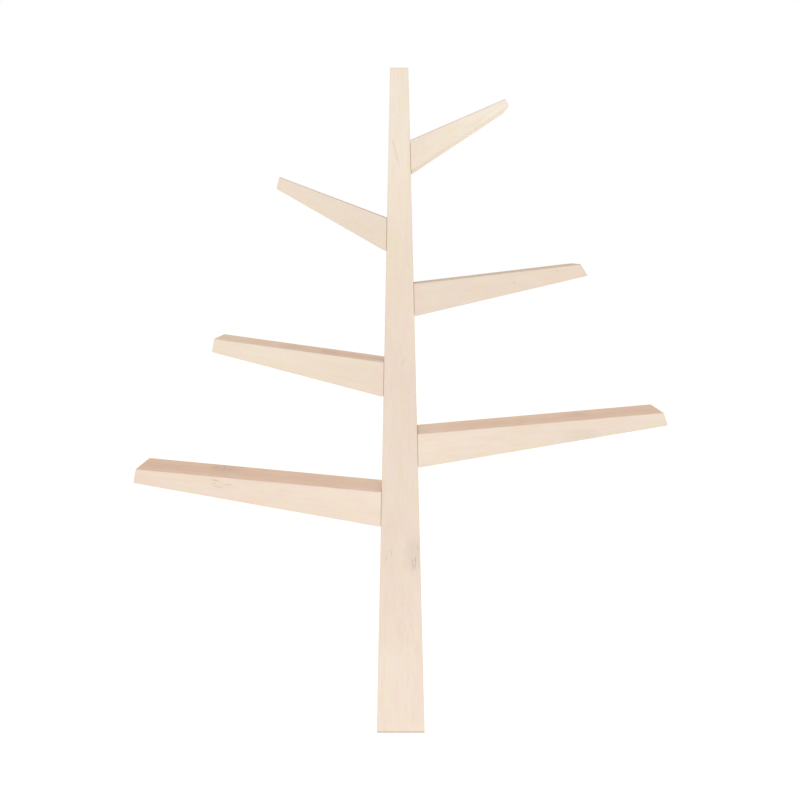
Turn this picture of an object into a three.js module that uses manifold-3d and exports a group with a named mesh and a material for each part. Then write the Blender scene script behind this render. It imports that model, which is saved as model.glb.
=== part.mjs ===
import * as THREE from 'three';
import { ConvexGeometry } from 'three/addons/geometries/ConvexGeometry.js';
import { mergeVertices } from 'three/addons/utils/BufferGeometryUtils.js';
import Module from 'manifold-3d';

// A bookshelf shaped like a bare tree: a tapered hollow trunk and six tapered hollow branches.
// Lengths are in millimetres and angles in degrees. +Z is up, +X is right as seen from the front,
// and the front faces -Y. The origin is on the floor, under the middle of the trunk.

// Whole bookshelf
const shelfDepth = 190;
const easeRadius = 2;
const easeSteps = 2;
const glueGap = 0.3;
const seatGap = 0.3;
const cutOverrun = 4;

// Trunk
const trunkHeight = 1400;
const trunkFootWidth = 102.1;
const trunkTopWidth = 37.5;
const trunkBoard = 12;
const footBoardHeight = 18;
const footPadThickness = 2;
const coreMargin = 28;

// Branches
const crownReach = 561.9;
const branchRootHeight = 75;
const branchTipHeight = 30.7;
const branchTipLean = 15.5;
const branchBoard = 6;
const rootBlockLength = 42;

// Branches, from the top down. The root is the end at the trunk. The heights of a root's top and a tip's
// top above the floor are shares of the trunk's height, and a tip's reach from the trunk's middle is a
// share of the crown's reach. A tip leans: its bottom corner reaches further out than its top corner.
const right = 1;
const left = -1;
const branchShares = [
  {
    name: 'upper_right', side: right, rootTopShare: 0.8944, rootHeightShare: 0.8533,
    tipTopShare: 0.9542, tipHeightShare: 0.4658,
    tipReachShare: 0.4041, tipLeanShare: 0.5419,
  },
  {
    name: 'upper_left', side: left, rootTopShare: 0.7807, rootHeightShare: 0.9447,
    tipTopShare: 0.8411, tipHeightShare: 0.8111,
    tipReachShare: 0.4535, tipLeanShare: 0.3806,
  },
  {
    name: 'middle_right', side: right, rootTopShare: 0.6826, rootHeightShare: 0.906,
    tipTopShare: 0.7113, tipHeightShare: 0.7964,
    tipReachShare: 0.6967, tipLeanShare: 1,
  },
  {
    name: 'middle_left', side: left, rootTopShare: 0.566, rootHeightShare: 0.9833,
    tipTopShare: 0.6017, tipHeightShare: 0.9316,
    tipReachShare: 0.6998, tipLeanShare: 0.329,
  },
  {
    name: 'lower_right', side: right, rootTopShare: 0.458, rootHeightShare: 0.9613,
    tipTopShare: 0.4896, tipHeightShare: 0.9023,
    tipReachShare: 1, tipLeanShare: 0.6129,
  },
  {
    name: 'lower_left', side: left, rootTopShare: 0.3704, rootHeightShare: 1,
    tipTopShare: 0.4061, tipHeightShare: 1,
    tipReachShare: 1, tipLeanShare: 0.3484,
  },
];

// Connector bolts, two to a branch, put in from the trunk's other side. The width of the hex socket is
// taken across its flats.
const boltHeightShare = 0.55;
const boltSpacing = 96;
const boltShank = 6;
const boltThread = 7;
const boltPoint = 4;
const boltInBranch = 34;
const boltHeadWidth = 15;
const boltHeadThickness = 2.6;
const boltHeadChamfer = 0.8;
const boltHeadSetback = 0.4;
const socketWidth = 4;
const socketDepth = 1.8;
const boreClearance = 0.3;
const boreSpare = 2;

// Keyhole plate at the back, its screws and the pocket behind it
const plateWidth = 18;
const plateLength = 58;
const plateThickness = 2;
const plateGap = 0.3;
const plateDrop = 82;
const keyholeEntry = 9.5;
const keyholeSlot = 5;
const keyholeTravel = 12;
const keyholePocketWidth = 11;
const keyholePocketDepth = 9.5;
const plateScrewSpacing = 44;
const screwShank = 3;
const screwHead = 6.4;
const screwHeadHeight = 1.8;
const screwHeadChamfer = 0.4;
const screwLength = 8;
const screwRecessWidth = 3;
const screwRecessDepth = 0.9;
const screwClearance = 0.3;
const plateSetback = screwHeadHeight + 2 * glueGap;

// Facets round each turned piece and bore
const boltSides = 16;
const screwSides = 12;
const arcSides = 6;
const hexSides = 6;
const crossSides = 4;

// The two ends of anything that is laid out about a middle
const bothEnds = [-1, 1];

const wasm = await Module();
wasm.setup();

// Materials
const paleWood = new THREE.MeshStandardMaterial({ color: 0xe9d8c5, roughness: 0.62, metalness: 0 });
const innerWood = new THREE.MeshStandardMaterial({ color: 0xd2b48c, roughness: 0.8, metalness: 0 });
const zincSteel = new THREE.MeshStandardMaterial({ color: 0xb9bcc0, roughness: 0.38, metalness: 0.9 });
const padFelt = new THREE.MeshStandardMaterial({ color: 0xd9cdbf, roughness: 0.95, metalness: 0 });

const shelf = new THREE.Group();

function addPiece(name, geometry, material) {
  const mesh = new THREE.Mesh(geometry, material);
  mesh.name = name;
  shelf.add(mesh);
}

// Keeps only the corners of a geometry and merges those that meet.
function closed(geometry) {
  const bare = geometry.index ? geometry.toNonIndexed() : geometry.clone();
  bare.deleteAttribute('normal');
  bare.deleteAttribute('uv');
  return mergeVertices(bare);
}

function toSolid(geometry) {
  const merged = closed(geometry);
  return new wasm.Manifold(new wasm.Mesh({
    numProp: 3,
    vertProperties: new Float32Array(merged.attributes.position.array),
    triVerts: new Uint32Array(merged.index.array),
  }));
}

function toGeometry(solid) {
  const mesh = solid.getMesh();
  const geometry = new THREE.BufferGeometry();
  const corners = new Float32Array(mesh.vertProperties);
  geometry.setAttribute('position', new THREE.BufferAttribute(corners, mesh.numProp));
  geometry.setIndex(new THREE.BufferAttribute(new Uint32Array(mesh.triVerts), 1));
  const flat = geometry.toNonIndexed();
  flat.computeVertexNormals();
  return flat;
}

function cutAll(solid, tools) {
  return tools.reduce((rest, tool) => rest.subtract(tool), solid);
}

// A box form is a four sided outline in the XZ plane, carried from the front face to the back face.
// Its sides are named first, end, second and base. The base is the open end: the root of a branch,
// or the foot of the trunk. The outline's corners are held in the order that follows the sides.
const sideNames = ['first', 'end', 'second', 'base'];

function makeForm(corners) {
  const middle = new THREE.Vector2();
  corners.forEach((corner) => middle.addScaledVector(corner, 1 / corners.length));
  const sides = {};
  sideNames.forEach((name, index) => {
    const start = corners[index];
    const stop = corners[(index + 1) % corners.length];
    const normal = new THREE.Vector2(stop.y - start.y, start.x - stop.x).normalize();
    if (normal.dot(middle.clone().sub(start)) > 0) {
      normal.negate();
    }
    sides[name] = { normal, reach: normal.dot(start) };
  });
  return sides;
}

// Where two sides meet once each is moved outwards by its own amount.
function meeting(form, nameA, moveA, nameB, moveB) {
  const a = form[nameA];
  const b = form[nameB];
  const reachA = a.reach + moveA;
  const reachB = b.reach + moveB;
  const turn = a.normal.x * b.normal.y - a.normal.y * b.normal.x;
  return new THREE.Vector2(
    (reachA * b.normal.y - reachB * a.normal.y) / turn,
    (reachB * a.normal.x - reachA * b.normal.x) / turn,
  );
}

function hull(points) {
  return new ConvexGeometry(points);
}

function at(corner, y) {
  return new THREE.Vector3(corner.x, y, corner.y);
}

// The whole form with every outer edge and corner rounded, as the hull of small patches of spheres.
function easedForm(form, depth, radius) {
  const points = [];
  for (const face of bothEnds) {
    const facing = new THREE.Vector3(0, face, 0);
    sideNames.forEach((name, index) => {
      const next = sideNames[(index + 1) % sideNames.length];
      const centre = at(meeting(form, name, -radius, next, -radius), face * (depth / 2 - radius));
      const normals = [facing, at(form[name].normal, 0), at(form[next].normal, 0)];
      for (let i = 0; i <= easeSteps; i += 1) {
        for (let j = 0; j <= easeSteps - i; j += 1) {
          const direction = new THREE.Vector3()
            .addScaledVector(normals[0], i)
            .addScaledVector(normals[1], j)
            .addScaledVector(normals[2], easeSteps - i - j)
            .normalize();
          points.push(centre.clone().addScaledVector(direction, radius));
        }
      }
    });
  }
  return toSolid(hull(points));
}

// The five boards of a box form, mitred to each other along every edge but those of the base.
// Each board is the eased form cut by the wedge that its mitres and its inner face leave.
function mitredBoards(form, depth, thickness, radius) {
  const whole = easedForm(form, depth, radius);
  const mitreGap = glueGap / Math.SQRT2;
  const levels = [cutOverrun, -thickness];
  const sideWedge = (name, otherA, otherB) => {
    const points = [];
    for (const level of levels) {
      const inset = level - mitreGap;
      const ends = [otherA, otherB].map((other) => (
        meeting(form, name, level, other, other === 'base' ? cutOverrun : inset)
      ));
      for (const end of ends) {
        points.push(at(end, -(depth / 2 + inset)), at(end, depth / 2 + inset));
      }
    }
    return points;
  };
  const faceWedge = (face) => {
    const points = [];
    for (const level of levels) {
      const inset = level - mitreGap;
      const y = face * (depth / 2 + level);
      points.push(
        at(meeting(form, 'first', inset, 'end', inset), y),
        at(meeting(form, 'second', inset, 'end', inset), y),
        at(meeting(form, 'first', inset, 'base', cutOverrun), y),
        at(meeting(form, 'second', inset, 'base', cutOverrun), y),
      );
    }
    return points;
  };
  const board = (points) => whole.intersect(toSolid(hull(points)));
  return {
    front: board(faceWedge(-1)),
    back: board(faceWedge(1)),
    first: board(sideWedge('first', 'base', 'end')),
    end: board(sideWedge('end', 'first', 'second')),
    second: board(sideWedge('second', 'base', 'end')),
  };
}

// A block that fills the inside of a box form between two distances from its base.
function innerBlock(form, depth, thickness, from, to) {
  const inset = -(thickness + glueGap);
  const points = [];
  for (const distance of [from, to]) {
    for (const name of ['first', 'second']) {
      const corner = meeting(form, name, inset, 'base', -distance);
      points.push(at(corner, -(depth / 2 + inset)), at(corner, depth / 2 + inset));
    }
  }
  return toSolid(hull(points));
}

// A shape turned about the X axis. Its profile is a list of [distance along X, radius] steps.
function turned(profile, sides) {
  const points = profile.map(([along, radius]) => new THREE.Vector2(radius, along));
  const geometry = new THREE.LatheGeometry(points, sides);
  geometry.rotateZ(-Math.PI / 2);
  return geometry;
}

// The same as a solid that can be cut.
function turnedSolid(profile, sides) {
  return toSolid(turned(profile, sides));
}

// Trunk: a box form that stands on its foot pad
const trunkFoot = footPadThickness + glueGap;
const trunkSlope = (trunkFootWidth - trunkTopWidth) / 2 / trunkHeight;
const trunkLean = Math.atan(trunkSlope);

function trunkHalfWidth(height) {
  return trunkFootWidth / 2 - trunkSlope * height;
}

const trunkForm = makeForm([
  new THREE.Vector2(-trunkHalfWidth(trunkFoot), trunkFoot),
  new THREE.Vector2(-trunkHalfWidth(trunkHeight), trunkHeight),
  new THREE.Vector2(trunkHalfWidth(trunkHeight), trunkHeight),
  new THREE.Vector2(trunkHalfWidth(trunkFoot), trunkFoot),
]);
const plateHeight = trunkHeight - plateDrop;
const trunkBoards = mitredBoards(trunkForm, shelfDepth, trunkBoard, easeRadius);

// The branches' own sizes, worked out from their shares
const branches = branchShares.map((shares) => ({
  name: shares.name,
  side: shares.side,
  rootTop: trunkHeight * shares.rootTopShare,
  rootHeight: branchRootHeight * shares.rootHeightShare,
  tipTop: trunkHeight * shares.tipTopShare,
  tipHeight: branchTipHeight * shares.tipHeightShare,
  tipReach: crownReach * shares.tipReachShare,
  tipLean: branchTipLean * shares.tipLeanShare,
}));

// One branch's box form, with its root parallel to the trunk's side and just clear of it
function branchForm(branch) {
  const rootBottom = branch.rootTop - branch.rootHeight;
  return makeForm([
    new THREE.Vector2(branch.side * (trunkHalfWidth(branch.rootTop) + seatGap), branch.rootTop),
    new THREE.Vector2(branch.side * (branch.tipReach - branch.tipLean), branch.tipTop),
    new THREE.Vector2(branch.side * branch.tipReach, branch.tipTop - branch.tipHeight),
    new THREE.Vector2(branch.side * (trunkHalfWidth(rootBottom) + seatGap), rootBottom),
  ]);
}

// A branch's joint line: the height of its bolts
function jointHeight(branch) {
  return branch.rootTop - branch.rootHeight * (1 - boltHeightShare);
}

// Places a shape made about the X axis: its zero on the trunk's side face, its +X into the branch.
function atJoint(geometry, branch, y) {
  const placed = geometry.clone();
  if (branch.side === left) {
    placed.rotateZ(Math.PI);
  }
  const height = jointHeight(branch);
  placed.translate(branch.side * trunkHalfWidth(height), y, height);
  return placed;
}

// How far a bolt's head lies from the branch's side of the trunk
function boltReach(branch) {
  return 2 * trunkHalfWidth(jointHeight(branch)) - boltHeadSetback - boltHeadThickness;
}

// The bore for one bolt: a shallow hole for its head, then its way through the trunk into the root block
function boltBore(branch) {
  const reach = boltReach(branch);
  const head = boltHeadWidth / 2 + boreClearance;
  const shank = boltThread / 2 + boreClearance;
  return turned([
    [-reach - boltHeadThickness - boltHeadSetback - cutOverrun, 0],
    [-reach - boltHeadThickness - boltHeadSetback - cutOverrun, head],
    [-reach + boreClearance, head],
    [-reach + boreClearance, shank],
    [boltInBranch + boreSpare, shank],
    [boltInBranch + boreSpare, 0],
  ], boltSides);
}

function bolt(branch) {
  const reach = boltReach(branch);
  const body = turnedSolid([
    [-reach - boltHeadThickness, 0],
    [-reach - boltHeadThickness, boltHeadWidth / 2 - boltHeadChamfer],
    [-reach - boltHeadThickness + boltHeadChamfer, boltHeadWidth / 2],
    [-reach, boltHeadWidth / 2],
    [-reach, boltShank / 2],
    [-(trunkBoard + glueGap), boltShank / 2],
    [-trunkBoard, boltThread / 2],
    [boltInBranch - boltPoint, boltThread / 2],
    [boltInBranch, boltThread / 4],
    [boltInBranch, 0],
  ], boltSides);
  const socket = turnedSolid([
    [-reach - boltHeadThickness - cutOverrun, 0],
    [-reach - boltHeadThickness - cutOverrun, socketWidth / Math.sqrt(3)],
    [-reach - boltHeadThickness + socketDepth, socketWidth / Math.sqrt(3)],
    [-reach - boltHeadThickness + socketDepth, 0],
  ], hexSides);
  return toGeometry(body.subtract(socket));
}

// An outline with half round ends, upright about its own middle
function roundEnded(width, length) {
  const outline = new THREE.Shape();
  const straight = (length - width) / 2;
  outline.absarc(0, straight, width / 2, 0, Math.PI, false);
  outline.absarc(0, -straight, width / 2, Math.PI, 2 * Math.PI, false);
  return outline;
}

function keyhole() {
  const hole = new THREE.Path();
  const entry = keyholeEntry / 2;
  const slot = keyholeSlot / 2;
  const reach = Math.asin(slot / entry);
  hole.absarc(0, -keyholeTravel / 2, entry, Math.PI / 2 + reach, Math.PI / 2 - reach + 2 * Math.PI, false);
  hole.absarc(0, keyholeTravel / 2, slot, 0, Math.PI, false);
  return hole;
}

// Extrudes an outline towards the front, from a distance behind the shelf's middle, at a height.
function upright(outline, depth, y, height) {
  const steps = { depth, bevelEnabled: false, curveSegments: arcSides };
  const geometry = new THREE.ExtrudeGeometry(outline, steps);
  geometry.rotateX(Math.PI / 2);
  geometry.translate(0, y, height);
  return geometry;
}

function keyholePlate(height) {
  const outline = roundEnded(plateWidth, plateLength);
  outline.holes.push(keyhole());
  for (const end of bothEnds) {
    const hole = new THREE.Path();
    hole.absarc(0, end * plateScrewSpacing / 2, screwShank / 2 + screwClearance, 0, 2 * Math.PI, false);
    outline.holes.push(hole);
  }
  return upright(outline, plateThickness, shelfDepth / 2 - plateSetback, height);
}

// The cuts for the plate: its recess, the deeper pocket behind its keyhole and its screws' pilot holes
function plateCuts(height) {
  const recess = roundEnded(plateWidth + 2 * plateGap, plateLength + 2 * plateGap);
  const recessDepth = plateSetback + plateThickness + plateGap;
  const pocket = roundEnded(keyholePocketWidth, keyholePocketWidth + keyholeTravel);
  const start = shelfDepth / 2 + cutOverrun;
  const pilot = turned([
    [-(screwLength + screwClearance), 0],
    [-(screwLength + screwClearance), screwShank / 2 + screwClearance],
    [cutOverrun, screwShank / 2 + screwClearance],
    [cutOverrun, 0],
  ], screwSides);
  return [
    toSolid(upright(recess, recessDepth + cutOverrun, start, height)),
    toSolid(upright(pocket, keyholePocketDepth + cutOverrun, start, height)),
    ...bothEnds.map((end) => toSolid(outward(pilot, end, height))),
  ];
}

// Turns a shape made about the X axis so that its +X points out of the plate's outer face.
function outward(geometry, end, height) {
  const placed = geometry.clone();
  placed.rotateZ(Math.PI / 2);
  placed.translate(0, shelfDepth / 2 - plateSetback, height + end * plateScrewSpacing / 2);
  return placed;
}

function plateScrew(end, height) {
  const body = turnedSolid([
    [-screwLength, 0],
    [-screwLength + screwShank / 2, screwShank / 2],
    [glueGap, screwShank / 2],
    [glueGap, screwHead / 2],
    [glueGap + screwHeadHeight - screwHeadChamfer, screwHead / 2],
    [glueGap + screwHeadHeight, screwHead / 2 - screwHeadChamfer],
    [glueGap + screwHeadHeight, 0],
  ], screwSides);
  const recess = turnedSolid([
    [glueGap + screwHeadHeight - screwRecessDepth, 0],
    [glueGap + screwHeadHeight - screwRecessDepth, screwRecessWidth / 2],
    [glueGap + screwHeadHeight + cutOverrun, screwRecessWidth / 2],
    [glueGap + screwHeadHeight + cutOverrun, 0],
  ], crossSides);
  return outward(toGeometry(body.subtract(recess)), end, height);
}

// Trunk pieces, each bored for the branches' bolts
const bores = branches.flatMap((branch) => bothEnds.map((end) => (
  toSolid(atJoint(boltBore(branch), branch, end * boltSpacing / 2))
)));

addPiece('trunk_front_board', toGeometry(trunkBoards.front), paleWood);
addPiece('trunk_back_board', toGeometry(cutAll(trunkBoards.back, plateCuts(plateHeight))), paleWood);
addPiece('trunk_left_board', toGeometry(cutAll(trunkBoards.first, bores)), paleWood);
addPiece('trunk_right_board', toGeometry(cutAll(trunkBoards.second, bores)), paleWood);
addPiece('trunk_top_cap', toGeometry(trunkBoards.end), paleWood);
const footBoard = innerBlock(trunkForm, shelfDepth, trunkBoard, 0, footBoardHeight);
addPiece('trunk_foot_board', toGeometry(footBoard), innerWood);

const footPad = hull(bothEnds.flatMap((face) => bothEnds.flatMap((side) => (
  [0, footPadThickness].map((height) => (
    new THREE.Vector3(side * trunkHalfWidth(height), face * shelfDepth / 2, height)
  ))
))));
addPiece('foot_pad', footPad, padFelt);

// Two cores fill the trunk behind the branches' joints, for the bolts to bear on.
function trunkCore(name, carried) {
  const heights = carried.map((branch) => jointHeight(branch) - trunkFoot);
  const from = Math.min(...heights) - coreMargin;
  const to = Math.max(...heights) + coreMargin;
  const core = innerBlock(trunkForm, shelfDepth, trunkBoard, from, to);
  addPiece(name, toGeometry(cutAll(core, bores)), innerWood);
}

const upperCount = branches.length / 2;
trunkCore('trunk_upper_core', branches.slice(0, upperCount));
trunkCore('trunk_lower_core', branches.slice(upperCount));

// Branch pieces
for (const branch of branches) {
  const form = branchForm(branch);
  const boards = mitredBoards(form, shelfDepth, branchBoard, easeRadius);
  addPiece(`${branch.name}_front_board`, toGeometry(boards.front), paleWood);
  addPiece(`${branch.name}_back_board`, toGeometry(boards.back), paleWood);
  addPiece(`${branch.name}_top_board`, toGeometry(boards.first), paleWood);
  addPiece(`${branch.name}_bottom_board`, toGeometry(boards.second), paleWood);
  addPiece(`${branch.name}_tip_cap`, toGeometry(boards.end), paleWood);
  const block = innerBlock(form, shelfDepth, branchBoard, 0, rootBlockLength);
  addPiece(`${branch.name}_root_block`, toGeometry(cutAll(block, bores)), innerWood);
  addPiece(`${branch.name}_front_bolt`, atJoint(bolt(branch), branch, -boltSpacing / 2), zincSteel);
  addPiece(`${branch.name}_back_bolt`, atJoint(bolt(branch), branch, boltSpacing / 2), zincSteel);
}

// Wall fixing at the back
addPiece('keyhole_plate', keyholePlate(plateHeight), zincSteel);
addPiece('keyhole_plate_upper_screw', plateScrew(1, plateHeight), zincSteel);
addPiece('keyhole_plate_lower_screw', plateScrew(-1, plateHeight), zincSteel);

export default shelf;
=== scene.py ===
"""Looks for a bookshelf shaped like a bare tree: whitewashed wood boards, zinc fixings and a felt foot pad.

Lengths are in metres. +Z is up, +X is right as seen from the front, and the front faces -Y.
A box form is the outer shape of the trunk or of a branch: six flats named front, back, first, second,
end and base. On a branch, first is the top, second the underside, end the tip and base the root. On the
trunk, first is the left side, second the right side, end the top and base the foot.
"""

import math

import bmesh
import bpy
import numpy as np
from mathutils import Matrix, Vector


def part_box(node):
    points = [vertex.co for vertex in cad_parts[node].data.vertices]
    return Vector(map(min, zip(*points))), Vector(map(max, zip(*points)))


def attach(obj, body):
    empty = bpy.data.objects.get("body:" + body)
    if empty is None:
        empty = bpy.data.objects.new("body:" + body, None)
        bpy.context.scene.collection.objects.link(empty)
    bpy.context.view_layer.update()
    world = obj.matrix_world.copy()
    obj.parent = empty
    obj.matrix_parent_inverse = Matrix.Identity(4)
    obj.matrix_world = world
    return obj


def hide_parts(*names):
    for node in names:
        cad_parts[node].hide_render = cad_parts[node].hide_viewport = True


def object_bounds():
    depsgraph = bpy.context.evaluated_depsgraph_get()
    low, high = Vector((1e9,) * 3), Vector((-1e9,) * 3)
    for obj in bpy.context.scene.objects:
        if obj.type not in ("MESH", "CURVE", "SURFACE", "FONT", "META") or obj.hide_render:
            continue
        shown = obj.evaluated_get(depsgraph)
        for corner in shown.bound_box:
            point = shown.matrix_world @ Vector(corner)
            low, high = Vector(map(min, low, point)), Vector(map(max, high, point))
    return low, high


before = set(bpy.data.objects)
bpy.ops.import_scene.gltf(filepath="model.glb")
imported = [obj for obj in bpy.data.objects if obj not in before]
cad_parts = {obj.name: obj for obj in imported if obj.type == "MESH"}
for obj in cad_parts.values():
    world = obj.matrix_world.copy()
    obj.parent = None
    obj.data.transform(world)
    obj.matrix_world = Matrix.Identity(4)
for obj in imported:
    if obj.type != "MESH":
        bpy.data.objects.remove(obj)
cad_low, cad_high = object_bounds()

BRANCHES = ("upper_right", "upper_left", "middle_right", "middle_left", "lower_right", "lower_left")

# Edges and seams of the boards. The rows beside a rounding lie at SUPPORT_SHARES of its radius from the sharp
# edge, which keeps the flat beside it flat. TIP_TRIM keeps the tips inside the CAD box.
EASE_RADIUS = 0.0021
EASE_STEPS = 5
SUPPORT_SHARES = (1.12, 2.0)
ROW_SPACING = 0.03
SEAM = 0.00005
TIP_TRIM = 0.0001

# Connector bolts
BOLT_HEAD_THICKNESS = 0.0026
BOLT_CHAMFER = 0.0008
BOLT_SHANK = 0.006
BOLT_THREAD = 0.007
BOLT_ROOT = 0.0054
BOLT_PITCH = 0.002
BOLT_POINT = 0.004
BOLT_THREAD_LENGTH = 0.046
SOCKET_WIDTH = 0.004
SOCKET_DEPTH = 0.0018
BORE_CLEARANCE = 0.0003
HEAD_SETBACK = 0.0004

# Keyhole plate, its screws and the pocket behind it
PLATE_BEVEL = 0.0003
KEYHOLE_ENTRY = 0.0095
KEYHOLE_SLOT = 0.005
KEYHOLE_TRAVEL = 0.012
POCKET_WIDTH = 0.011
POCKET_DEPTH = 0.0095
PLATE_GAP = 0.0003
SCREW_SHANK = 0.003
SCREW_PITCH = 0.0011
SCREW_ROOT = 0.0022
SCREW_HEAD_HEIGHT = 0.0018
SCREW_CHAMFER = 0.0004
RECESS_WIDTH = 0.003
RECESS_ARM = 0.0009
RECESS_DEPTH = 0.0009
RECESS_TAPER = 0.7

# Screw threads: rows of points a pitch, and how steeply the radius rises, where 1 gives sharp crests
THREAD_ROWS = 8
THREAD_SLOPE = 1.4

# Points around a turned piece and on a half round, and how far a cutter stands out of what it cuts
TURNED_SIDES = 48
ARC_STEPS = 16
CUT_OVERRUN = 0.003


# Camera: in front of the trunk and a little to its right, at the height of the middle branches

CAMERA_PLACE = (0.0176, -3.7131, 1.034)
CAMERA_DOWN = math.radians(5.075)
CAMERA_LEFT = math.radians(0.264)
CAMERA_ROLL = math.radians(0.132)
CAMERA_LENS = 78.03


def place_camera():
    """The photo's camera: level, then turned down, rolled and turned left."""
    camera = bpy.data.objects.new("camera", bpy.data.cameras.new("camera"))
    camera.data.lens = CAMERA_LENS
    camera.location = CAMERA_PLACE
    camera.rotation_euler = (math.pi / 2 - CAMERA_DOWN, CAMERA_ROLL, CAMERA_LEFT)
    bpy.context.collection.objects.link(camera)
    bpy.context.scene.camera = camera


# Meshes


def new_piece(name, points, faces):
    """A piece from arrays of points and faces, with its faces turned outwards."""
    mesh = bpy.data.meshes.new(name)
    mesh.from_pydata(points.tolist(), [], [list(face) for face in faces])
    if signed_volume(mesh) < 0:
        mesh.flip_normals()
    piece = bpy.data.objects.new(name, mesh)
    bpy.context.collection.objects.link(piece)
    return piece


def signed_volume(mesh):
    """Sum over the triangles of a . (b x c) / 6, which is above zero where the faces point outwards."""
    points, triangles = mesh_arrays(mesh)
    a, b, c = points[triangles].transpose(1, 0, 2)
    return float((a * np.cross(b, c)).sum() / 6)


def mesh_arrays(mesh):
    """A mesh's points, and its triangles as vertex numbers."""
    points = np.empty(len(mesh.vertices) * 3, np.float32)
    mesh.vertices.foreach_get("co", points)
    mesh.calc_loop_triangles()
    triangles = np.empty(len(mesh.loop_triangles) * 3, np.int32)
    mesh.loop_triangles.foreach_get("vertices", triangles)
    return points.reshape(-1, 3).astype(float), triangles.reshape(-1, 3)


def smooth(piece, sharp_degrees=32):
    """Smooth shading, but for edges that turn by more than an angle."""
    piece.data.shade_smooth()
    piece.data.set_sharp_from_angle(angle=math.radians(sharp_degrees))


def quads(places):
    """Faces between the neighbours of a grid of vertex numbers."""
    corners = [places[:-1, :-1], places[1:, :-1], places[1:, 1:], places[:-1, 1:]]
    return np.stack(corners, -1).reshape(-1, 4)


def closed_shell(name, outer, inner):
    """A closed piece between two grids of points: their quads, and a rim that joins their borders."""
    places = np.arange(outer.shape[0] * outer.shape[1]).reshape(outer.shape[:2])
    border = np.concatenate([places[0, :-1], places[:-1, -1], places[-1, :0:-1], places[:0:-1, 0]])
    following = np.roll(border, -1)
    rim = np.stack([border, following, following + places.size, border + places.size], -1)
    faces = np.concatenate([quads(places), quads(places + places.size)[:, ::-1], rim])
    return new_piece(name, np.concatenate([outer.reshape(-1, 3), inner.reshape(-1, 3)]), faces)


def cut(piece, cutters):
    """Takes closed shapes out of a piece, and drops them."""
    for cutter in cutters:
        step = piece.modifiers.new("cut", "BOOLEAN")
        step.operation = "DIFFERENCE"
        step.solver = "EXACT"
        step.object = cutter
    shaped = piece.evaluated_get(bpy.context.evaluated_depsgraph_get())
    mesh = bpy.data.meshes.new_from_object(shaped)
    piece.modifiers.clear()
    piece.data = mesh
    for cutter in cutters:
        bpy.data.objects.remove(cutter)


def finish_piece(piece, material, slot, *nodes):
    """Gives a piece its material and its body, and hides the solids that it takes the place of. Its slot is
    not used.
    """
    piece.data.materials.clear()
    piece.data.materials.append(material)
    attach(piece, "root")
    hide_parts(*nodes)


# Box forms, read from the frame's boards

# Least cosine between the normals of two triangles on one flat
SAME_WAY = 0.99999


def outer_flat(name, inside):
    """Normal n and reach c of a board's outer face, n . p = c. Of the triangles that face away from a point
    inside the form, it is the normal that the most area shares."""
    points, triangles = mesh_arrays(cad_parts[name].data)
    a, b, c = points[triangles].transpose(1, 0, 2)
    normals = np.cross(b - a, c - a)
    areas = np.linalg.norm(normals, axis=1)
    normals = normals / np.maximum(areas, 1e-12)[:, None]
    away = ((a - inside) * normals).sum(1) > 0
    alike = normals @ normals.T > SAME_WAY
    best = np.argmax((alike * (areas * away)).sum(1) * away)
    flat = np.flatnonzero(alike[best] & away)
    normal = (normals[flat] * areas[flat, None]).sum(0)
    normal = normal / np.linalg.norm(normal)
    return normal, float(((a[flat] @ normal) * areas[flat]).sum() / areas[flat].sum())


def read_form(boards, base_way):
    """The six flats of a box form from its five boards, and their thickness. The base is the flat across
    base_way that the front board just reaches."""
    front, _ = mesh_arrays(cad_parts[boards["front"]].data)
    back, _ = mesh_arrays(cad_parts[boards["back"]].data)
    inside = (front.mean(0) + back.mean(0)) / 2
    form = {side: outer_flat(name, inside) for side, name in boards.items()}
    base_way = np.asarray(base_way, float)
    form["base"] = (base_way, float((front @ base_way).max()))
    low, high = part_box(boards["front"])
    form["thickness"] = high.y - low.y
    return form


def corner(form, moves):
    """Where three flats meet once each is moved in by its own distance: the solution of n . p = c - move."""
    normals = [form[side][0] for side in moves]
    reaches = [form[side][1] - move for side, move in moves.items()]
    return np.linalg.solve(normals, reaches)


# The flats around a form in the XZ plane, each beside the next
OUTLINE = ("first", "end", "second", "base")


def nearest_in_shrunk(form, points, radius):
    """Nearest points of the form shrunk by a radius. Along Y a point is held between the shrunk front and
    back. In the XZ plane a point outside the shrunk outline goes to the nearest point of its four edges."""
    flat = points[:, [0, 2]]
    nearest = flat.copy()
    gap = np.zeros(len(flat))
    outside = np.zeros(len(flat), bool)
    for side in OUTLINE:
        normal, reach = form[side]
        outside |= flat @ normal[[0, 2]] > reach - radius
    gap[outside] = np.inf
    for here, side in enumerate(OUTLINE):
        neighbours = (OUTLINE[here - 1], OUTLINE[(here + 1) % len(OUTLINE)])
        moves = [{side: radius, neighbour: radius, "front": 0} for neighbour in neighbours]
        start, stop = (corner(form, move)[[0, 2]] for move in moves)
        run = stop - start
        share = np.clip((flat - start) @ run / (run @ run), 0, 1)
        found = start + share[:, None] * run
        distance = np.linalg.norm(flat - found, axis=1)
        closer = distance < gap
        nearest[closer] = found[closer]
        gap[closer] = distance[closer]
    low = -form["front"][1] + radius
    high = form["back"][1] - radius
    return np.column_stack([nearest[:, 0], np.clip(points[:, 1], low, high), nearest[:, 1]])


def eased(form, grid, radius=EASE_RADIUS):
    """Rounds the sharp form's surface: each point moves along the line from the nearest point of the shrunk
    form, until it is one radius from it."""
    points = grid.reshape(-1, 3)
    core = nearest_in_shrunk(form, points, radius)
    away = points - core
    away *= radius / np.linalg.norm(away, axis=1)[:, None]
    return (core + away).reshape(grid.shape)


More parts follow.
